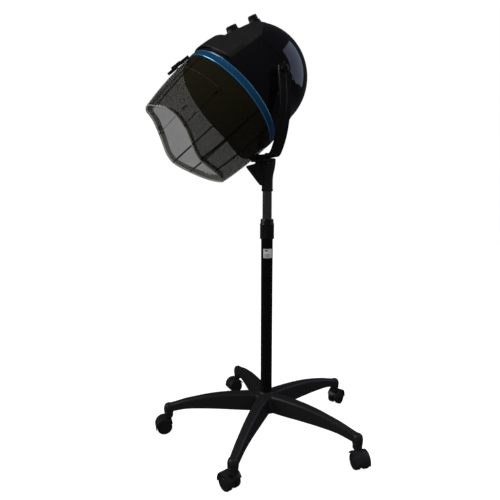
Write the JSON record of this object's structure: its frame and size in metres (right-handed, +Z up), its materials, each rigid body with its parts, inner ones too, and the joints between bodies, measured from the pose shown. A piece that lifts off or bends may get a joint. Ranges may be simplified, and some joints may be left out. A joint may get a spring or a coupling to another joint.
{
  "type": "hood hair dryer",
  "caption": "Rolling salon hood dryer: tilting domed drying hood with blue trim ring and smoked visor on a telescopic column and a star base with twin-wheel casters.",
  "frame": {"origin": "on the floor, below the centre of the whole bounding box; the column axis is at x 0.0077, y -0.0008", "axes": "+Z up; the hood opens towards -Y and is symmetric about the plane x 0.0077; +X is on the side of the right fork arm"},
  "size_m": [0.5831, 0.6331, 1.1328],
  "materials": {
    "black_nylon": "moulded glass-filled nylon, fine matt grain",
    "black_enamel": "gloss black stove enamel on steel tube",
    "chrome": "polished chrome plate",
    "steel": "zinc-plated steel",
    "black_satin": "moulded plastic, satin",
    "panel_satin": "moulded plastic, satin, printed dials",
    "black_gloss": "high-gloss moulded plastic",
    "blue_trim": "metallic blue lacquer",
    "smoke_acrylic": "clear smoke-tinted acrylic, polished",
    "mica": "mica sheet",
    "nichrome": "resistance wire",
    "red_lens": "red translucent lens",
    "caster_tread": "hard black nylon wheel"
  },
  "bodies": {
    "base": {"star_base": "black_nylon", "hub_bolt": "steel", "outer_tube": "black_enamel", "collet": "black_nylon", "caster_1_stem": "steel", "caster_2_stem": "steel", "caster_3_stem": "steel", "caster_4_stem": "steel", "caster_5_stem": "steel"},
    "collar": {"lock_collar": "black_satin"},
    "mast": {"inner_tube": "chrome", "guide_bush": "black_nylon"},
    "neck": {"neck_socket": "black_nylon", "yoke_arm_left": "black_satin", "yoke_arm_right": "black_satin", "yoke_bolt_left": "steel", "yoke_bolt_right": "steel"},
    "hood": {"pivot_screw_left": "black_satin", "pivot_screw_right": "black_satin", "front_shell": "black_satin", "trim_ring": "blue_trim", "mid_shell": "black_gloss", "dome_cap": "black_gloss", "control_housing": "panel_satin", "inner_bowl": "black_satin", "motor_bracket": "steel", "motor": "steel", "heater_former": "mica", "heating_coil": "nichrome", "timer_unit": "steel", "temperature_switch": "steel", "pilot_lamp": "red_lens", "visor": "smoke_acrylic", "flap_hinge": "black_satin"},
    "fan": {"impeller": "black_nylon"},
    "flap": {"front_flap": "smoke_acrylic", "flap_bracket": "black_satin", "flap_clip": "black_satin"},
    "timer_dial": {"timer_knob": "black_satin"},
    "temperature_dial": {"temperature_knob": "black_satin"},
    "caster_1": {"caster_1_housing": "black_nylon", "caster_1_axle": "steel"},
    "caster_1_left": {"caster_1_wheel_left": "caster_tread"},
    "caster_1_right": {"caster_1_wheel_right": "caster_tread"},
    "caster_2": {"caster_2_housing": "black_nylon", "caster_2_axle": "steel"},
    "caster_2_left": {"caster_2_wheel_left": "caster_tread"},
    "caster_2_right": {"caster_2_wheel_right": "caster_tread"},
    "caster_3": {"caster_3_housing": "black_nylon", "caster_3_axle": "steel"},
    "caster_3_left": {"caster_3_wheel_left": "caster_tread"},
    "caster_3_right": {"caster_3_wheel_right": "caster_tread"},
    "caster_4": {"caster_4_housing": "black_nylon", "caster_4_axle": "steel"},
    "caster_4_left": {"caster_4_wheel_left": "caster_tread"},
    "caster_4_right": {"caster_4_wheel_right": "caster_tread"},
    "caster_5": {"caster_5_housing": "black_nylon", "caster_5_axle": "steel"},
    "caster_5_left": {"caster_5_wheel_left": "caster_tread"},
    "caster_5_right": {"caster_5_wheel_right": "caster_tread"}
  },
  "joints": [
    {"name": "collar_twist", "type": "hinge", "parent": "base", "child": "collar", "pos_m": [0.0077, -0.0008, 0.59], "axis": [0, 0, 1], "range_deg": [0, 150]},
    {"name": "height_slide", "type": "slide", "parent": "base", "child": "mast", "axis": [0, 0, 1], "range_m": [-0.06, 0.28]},
    {"name": "head_swivel", "type": "hinge", "parent": "mast", "child": "neck", "pos_m": [0.0077, -0.0008, 0.73], "axis": [0, 0, 1], "continuous": true},
    {"name": "hood_tilt", "type": "hinge", "parent": "neck", "child": "hood", "pos_m": [0.0077, -0.0378, 0.972], "axis": [1, 0, 0], "range_deg": [-40, 0]},
    {"name": "fan_spin", "type": "hinge", "parent": "hood", "child": "fan", "pos_m": [0.0077, -0.0367, 0.9769], "axis": [0, -0.7431, -0.6691], "continuous": true},
    {"name": "flap_lift", "type": "hinge", "parent": "hood", "child": "flap", "pos_m": [0.0077, -0.24403, 0.99121], "axis": [-1, 0, 0], "range_deg": [0, 60]},
    {"name": "timer_turn", "type": "hinge", "parent": "hood", "child": "timer_dial", "pos_m": [0.0077, -0.09582, 1.08262], "axis": [0, -0.4556, 0.8902], "range_deg": [0, 270]},
    {"name": "temperature_turn", "type": "hinge", "parent": "hood", "child": "temperature_dial", "pos_m": [0.0077, -0.03835, 1.11204], "axis": [0, -0.4556, 0.8902], "range_deg": [0, 240]},
    {"name": "caster_1_swivel", "type": "hinge", "parent": "base", "child": "caster_1", "pos_m": [-0.10529, -0.25699, 0.05], "axis": [0, 0, 1], "continuous": true},
    {"name": "caster_1_left_roll", "type": "hinge", "parent": "caster_1", "child": "caster_1_left", "pos_m": [-0.09536, -0.27252, 0.0215], "axis": [0.9903, -0.1392, 0], "continuous": true},
    {"name": "caster_1_right_roll", "type": "hinge", "parent": "caster_1", "child": "caster_1_right", "pos_m": [-0.11912, -0.26918, 0.0215], "axis": [0.9903, -0.1392, 0], "continuous": true},
    {"name": "caster_2_swivel", "type": "hinge", "parent": "base", "child": "caster_2", "pos_m": [0.21643, -0.18743, 0.05], "axis": [0, 0, 1], "continuous": true},
    {"name": "caster_2_left_roll", "type": "hinge", "parent": "caster_2", "child": "caster_2_left", "pos_m": [0.20628, -0.20282, 0.0215], "axis": [0.2756, -0.9613, 0], "continuous": true},
    {"name": "caster_2_right_roll", "type": "hinge", "parent": "caster_2", "child": "caster_2_right", "pos_m": [0.19967, -0.17975, 0.0215], "axis": [0.2756, -0.9613, 0], "continuous": true},
    {"name": "caster_3_swivel", "type": "hinge", "parent": "base", "child": "caster_3", "pos_m": [0.2497, 0.14005, 0.05], "axis": [0, 0, 1], "continuous": true},
    {"name": "caster_3_left_roll", "type": "hinge", "parent": "caster_3", "child": "caster_3_left", "pos_m": [0.26557, 0.14943, 0.0215], "axis": [0.1736, 0.9848, 0], "continuous": true},
    {"name": "caster_3_right_roll", "type": "hinge", "parent": "caster_3", "child": "caster_3_right", "pos_m": [0.2614, 0.1258, 0.0215], "axis": [0.1736, 0.9848, 0], "continuous": true},
    {"name": "caster_4_swivel", "type": "hinge", "parent": "base", "child": "caster_4", "pos_m": [-0.05147, 0.27288, 0.05], "axis": [0, 0, 1], "continuous": true},
    {"name": "caster_4_left_roll", "type": "hinge", "parent": "caster_4", "child": "caster_4_left", "pos_m": [-0.06886, 0.279, 0.0215], "axis": [-0.866, -0.5, 0], "continuous": true},
    {"name": "caster_4_right_roll", "type": "hinge", "parent": "caster_4", "child": "caster_4_right", "pos_m": [-0.04808, 0.291, 0.0215], "axis": [-0.866, -0.5, 0], "continuous": true},
    {"name": "caster_5_swivel", "type": "hinge", "parent": "base", "child": "caster_5", "pos_m": [-0.27087, 0.0275, 0.05], "axis": [0, 0, 1], "continuous": true},
    {"name": "caster_5_left_roll", "type": "hinge", "parent": "caster_5", "child": "caster_5_left", "pos_m": [-0.25769, 0.0146, 0.0215], "axis": [0.9962, 0.0872, 0], "continuous": true},
    {"name": "caster_5_right_roll", "type": "hinge", "parent": "caster_5", "child": "caster_5_right", "pos_m": [-0.2816, 0.0125, 0.0215], "axis": [0.9962, 0.0872, 0], "continuous": true}
  ]
}
